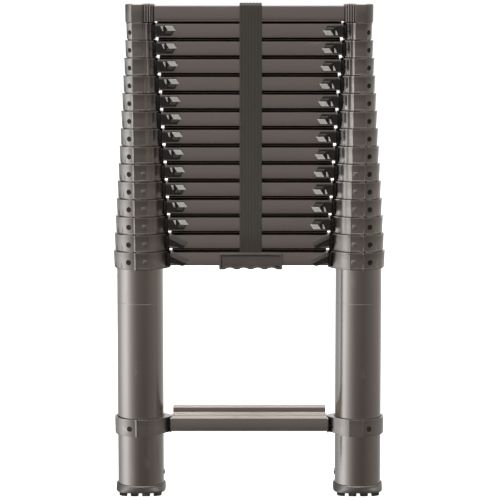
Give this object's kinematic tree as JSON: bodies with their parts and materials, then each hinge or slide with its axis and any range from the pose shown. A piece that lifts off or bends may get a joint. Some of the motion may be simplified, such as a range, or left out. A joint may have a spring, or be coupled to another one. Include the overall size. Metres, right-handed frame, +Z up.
{
  "type": "telescoping ladder",
  "caption": "Collapsible telescoping ladder: nested round tubes, stacked rungs in collars with thumb latches, a fixed lower rung, rubber feet, carry handle and strap.",
  "frame": {"origin": "on the ground, half way between the two stiles, in the middle of the ladder's depth", "axes": "+Z up along the stiles, +X to the right seen from the climber's side, +Y away from the climber"},
  "size_m": [0.4914, 0.0924, 0.8941],
  "materials": {
    "bronze_tube": "satin, dark bronze anodised",
    "bronze_casting": "satin, moulded and bronze coated",
    "latch_plastic": "fine moulded texture",
    "foot_rubber": "matte moulded",
    "grip_plastic": "soft-touch moulded",
    "webbing": "ribbed woven strap"
  },
  "bodies": {
    "base": {"base_tube_left": "bronze_tube", "base_tube_right": "bronze_tube", "base_collar_left": "bronze_casting", "base_collar_right": "bronze_casting", "fixed_bracket_left": "bronze_casting", "fixed_bracket_right": "bronze_casting", "foot_left": "foot_rubber", "foot_right": "foot_rubber", "base_rung": "bronze_tube", "fixed_rung": "bronze_tube", "carry_handle": "grip_plastic", "strap_tail": "webbing"},
    "section_02": {"section_02": "bronze_tube"},
    "section_03": {"section_03": "bronze_tube"},
    "section_04": {"section_04": "bronze_tube"},
    "section_05": {"section_05": "bronze_tube"},
    "section_06": {"section_06": "bronze_tube"},
    "section_07": {"section_07": "bronze_tube"},
    "section_08": {"section_08": "bronze_tube"},
    "section_09": {"section_09": "bronze_tube"},
    "section_10": {"section_10": "bronze_tube"},
    "section_11": {"section_11": "bronze_tube"},
    "section_12": {"section_12": "bronze_tube"},
    "section_13": {"section_13": "bronze_tube"},
    "section_14": {"section_14": "bronze_tube"},
    "top_section": {"top_tube_left": "bronze_tube", "top_tube_right": "bronze_tube", "top_cap_left": "bronze_casting", "top_cap_right": "bronze_casting", "top_rung": "bronze_tube", "strap_loop": "webbing"},
    "latch_01_left": {"latch_01_left": "latch_plastic"},
    "latch_01_right": {"latch_01_right": "latch_plastic"},
    "latch_02_left": {"latch_02_left": "latch_plastic"},
    "latch_02_right": {"latch_02_right": "latch_plastic"},
    "latch_03_left": {"latch_03_left": "latch_plastic"},
    "latch_03_right": {"latch_03_right": "latch_plastic"},
    "latch_04_left": {"latch_04_left": "latch_plastic"},
    "latch_04_right": {"latch_04_right": "latch_plastic"},
    "latch_05_left": {"latch_05_left": "latch_plastic"},
    "latch_05_right": {"latch_05_right": "latch_plastic"},
    "latch_06_left": {"latch_06_left": "latch_plastic"},
    "latch_06_right": {"latch_06_right": "latch_plastic"},
    "latch_07_left": {"latch_07_left": "latch_plastic"},
    "latch_07_right": {"latch_07_right": "latch_plastic"},
    "latch_08_left": {"latch_08_left": "latch_plastic"},
    "latch_08_right": {"latch_08_right": "latch_plastic"},
    "latch_09_left": {"latch_09_left": "latch_plastic"},
    "latch_09_right": {"latch_09_right": "latch_plastic"},
    "latch_10_left": {"latch_10_left": "latch_plastic"},
    "latch_10_right": {"latch_10_right": "latch_plastic"},
    "latch_11_left": {"latch_11_left": "latch_plastic"},
    "latch_11_right": {"latch_11_right": "latch_plastic"},
    "latch_12_left": {"latch_12_left": "latch_plastic"},
    "latch_12_right": {"latch_12_right": "latch_plastic"},
    "latch_13_left": {"latch_13_left": "latch_plastic"},
    "latch_13_right": {"latch_13_right": "latch_plastic"},
    "latch_14_left": {"latch_14_left": "latch_plastic"},
    "latch_14_right": {"latch_14_right": "latch_plastic"}
  },
  "joints": [
    {"name": "section_02_slide", "type": "slide", "parent": "base", "child": "section_02", "axis": [0, 0, 1], "range_m": [0, 0.27315]},
    {"name": "section_03_slide", "type": "slide", "parent": "section_02", "child": "section_03", "axis": [0, 0, 1], "range_m": [0, 0.27315]},
    {"name": "section_04_slide", "type": "slide", "parent": "section_03", "child": "section_04", "axis": [0, 0, 1], "range_m": [0, 0.27315]},
    {"name": "section_05_slide", "type": "slide", "parent": "section_04", "child": "section_05", "axis": [0, 0, 1], "range_m": [0, 0.27315]},
    {"name": "section_06_slide", "type": "slide", "parent": "section_05", "child": "section_06", "axis": [0, 0, 1], "range_m": [0, 0.27315]},
    {"name": "section_07_slide", "type": "slide", "parent": "section_06", "child": "section_07", "axis": [0, 0, 1], "range_m": [0, 0.27315]},
    {"name": "section_08_slide", "type": "slide", "parent": "section_07", "child": "section_08", "axis": [0, 0, 1], "range_m": [0, 0.27315]},
    {"name": "section_09_slide", "type": "slide", "parent": "section_08", "child": "section_09", "axis": [0, 0, 1], "range_m": [0, 0.27315]},
    {"name": "section_10_slide", "type": "slide", "parent": "section_09", "child": "section_10", "axis": [0, 0, 1], "range_m": [0, 0.27315]},
    {"name": "section_11_slide", "type": "slide", "parent": "section_10", "child": "section_11", "axis": [0, 0, 1], "range_m": [0, 0.27315]},
    {"name": "section_12_slide", "type": "slide", "parent": "section_11", "child": "section_12", "axis": [0, 0, 1], "range_m": [0, 0.27315]},
    {"name": "section_13_slide", "type": "slide", "parent": "section_12", "child": "section_13", "axis": [0, 0, 1], "range_m": [0, 0.27315]},
    {"name": "section_14_slide", "type": "slide", "parent": "section_13", "child": "section_14", "axis": [0, 0, 1], "range_m": [0, 0.27315]},
    {"name": "top_section_slide", "type": "slide", "parent": "section_14", "child": "top_section", "axis": [0, 0, 1], "range_m": [0, 0.27315]},
    {"name": "latch_01_left_slide", "type": "slide", "parent": "base", "child": "latch_01_left", "axis": [1, 0, 0], "range_m": [0, 0.007], "stiffness_N_per_m": 800, "springref_m": -0.002},
    {"name": "latch_01_right_slide", "type": "slide", "parent": "base", "child": "latch_01_right", "axis": [-1, 0, 0], "range_m": [0, 0.007], "stiffness_N_per_m": 800, "springref_m": -0.002},
    {"name": "latch_02_left_slide", "type": "slide", "parent": "section_02", "child": "latch_02_left", "axis": [1, 0, 0], "range_m": [0, 0.007], "stiffness_N_per_m": 800, "springref_m": -0.002},
    {"name": "latch_02_right_slide", "type": "slide", "parent": "section_02", "child": "latch_02_right", "axis": [-1, 0, 0], "range_m": [0, 0.007], "stiffness_N_per_m": 800, "springref_m": -0.002},
    {"name": "latch_03_left_slide", "type": "slide", "parent": "section_03", "child": "latch_03_left", "axis": [1, 0, 0], "range_m": [0, 0.007], "stiffness_N_per_m": 800, "springref_m": -0.002},
    {"name": "latch_03_right_slide", "type": "slide", "parent": "section_03", "child": "latch_03_right", "axis": [-1, 0, 0], "range_m": [0, 0.007], "stiffness_N_per_m": 800, "springref_m": -0.002},
    {"name": "latch_04_left_slide", "type": "slide", "parent": "section_04", "child": "latch_04_left", "axis": [1, 0, 0], "range_m": [0, 0.007], "stiffness_N_per_m": 800, "springref_m": -0.002},
    {"name": "latch_04_right_slide", "type": "slide", "parent": "section_04", "child": "latch_04_right", "axis": [-1, 0, 0], "range_m": [0, 0.007], "stiffness_N_per_m": 800, "springref_m": -0.002},
    {"name": "latch_05_left_slide", "type": "slide", "parent": "section_05", "child": "latch_05_left", "axis": [1, 0, 0], "range_m": [0, 0.007], "stiffness_N_per_m": 800, "springref_m": -0.002},
    {"name": "latch_05_right_slide", "type": "slide", "parent": "section_05", "child": "latch_05_right", "axis": [-1, 0, 0], "range_m": [0, 0.007], "stiffness_N_per_m": 800, "springref_m": -0.002},
    {"name": "latch_06_left_slide", "type": "slide", "parent": "section_06", "child": "latch_06_left", "axis": [1, 0, 0], "range_m": [0, 0.007], "stiffness_N_per_m": 800, "springref_m": -0.002},
    {"name": "latch_06_right_slide", "type": "slide", "parent": "section_06", "child": "latch_06_right", "axis": [-1, 0, 0], "range_m": [0, 0.007], "stiffness_N_per_m": 800, "springref_m": -0.002},
    {"name": "latch_07_left_slide", "type": "slide", "parent": "section_07", "child": "latch_07_left", "axis": [1, 0, 0], "range_m": [0, 0.007], "stiffness_N_per_m": 800, "springref_m": -0.002},
    {"name": "latch_07_right_slide", "type": "slide", "parent": "section_07", "child": "latch_07_right", "axis": [-1, 0, 0], "range_m": [0, 0.007], "stiffness_N_per_m": 800, "springref_m": -0.002},
    {"name": "latch_08_left_slide", "type": "slide", "parent": "section_08", "child": "latch_08_left", "axis": [1, 0, 0], "range_m": [0, 0.007], "stiffness_N_per_m": 800, "springref_m": -0.002},
    {"name": "latch_08_right_slide", "type": "slide", "parent": "section_08", "child": "latch_08_right", "axis": [-1, 0, 0], "range_m": [0, 0.007], "stiffness_N_per_m": 800, "springref_m": -0.002},
    {"name": "latch_09_left_slide", "type": "slide", "parent": "section_09", "child": "latch_09_left", "axis": [1, 0, 0], "range_m": [0, 0.007], "stiffness_N_per_m": 800, "springref_m": -0.002},
    {"name": "latch_09_right_slide", "type": "slide", "parent": "section_09", "child": "latch_09_right", "axis": [-1, 0, 0], "range_m": [0, 0.007], "stiffness_N_per_m": 800, "springref_m": -0.002},
    {"name": "latch_10_left_slide", "type": "slide", "parent": "section_10", "child": "latch_10_left", "axis": [1, 0, 0], "range_m": [0, 0.007], "stiffness_N_per_m": 800, "springref_m": -0.002},
    {"name": "latch_10_right_slide", "type": "slide", "parent": "section_10", "child": "latch_10_right", "axis": [-1, 0, 0], "range_m": [0, 0.007], "stiffness_N_per_m": 800, "springref_m": -0.002},
    {"name": "latch_11_left_slide", "type": "slide", "parent": "section_11", "child": "latch_11_left", "axis": [1, 0, 0], "range_m": [0, 0.007], "stiffness_N_per_m": 800, "springref_m": -0.002},
    {"name": "latch_11_right_slide", "type": "slide", "parent": "section_11", "child": "latch_11_right", "axis": [-1, 0, 0], "range_m": [0, 0.007], "stiffness_N_per_m": 800, "springref_m": -0.002},
    {"name": "latch_12_left_slide", "type": "slide", "parent": "section_12", "child": "latch_12_left", "axis": [1, 0, 0], "range_m": [0, 0.007], "stiffness_N_per_m": 800, "springref_m": -0.002},
    {"name": "latch_12_right_slide", "type": "slide", "parent": "section_12", "child": "latch_12_right", "axis": [-1, 0, 0], "range_m": [0, 0.007], "stiffness_N_per_m": 800, "springref_m": -0.002},
    {"name": "latch_13_left_slide", "type": "slide", "parent": "section_13", "child": "latch_13_left", "axis": [1, 0, 0], "range_m": [0, 0.007], "stiffness_N_per_m": 800, "springref_m": -0.002},
    {"name": "latch_13_right_slide", "type": "slide", "parent": "section_13", "child": "latch_13_right", "axis": [-1, 0, 0], "range_m": [0, 0.007], "stiffness_N_per_m": 800, "springref_m": -0.002},
    {"name": "latch_14_left_slide", "type": "slide", "parent": "section_14", "child": "latch_14_left", "axis": [1, 0, 0], "range_m": [0, 0.007], "stiffness_N_per_m": 800, "springref_m": -0.002},
    {"name": "latch_14_right_slide", "type": "slide", "parent": "section_14", "child": "latch_14_right", "axis": [-1, 0, 0], "range_m": [0, 0.007], "stiffness_N_per_m": 800, "springref_m": -0.002}
  ]
}
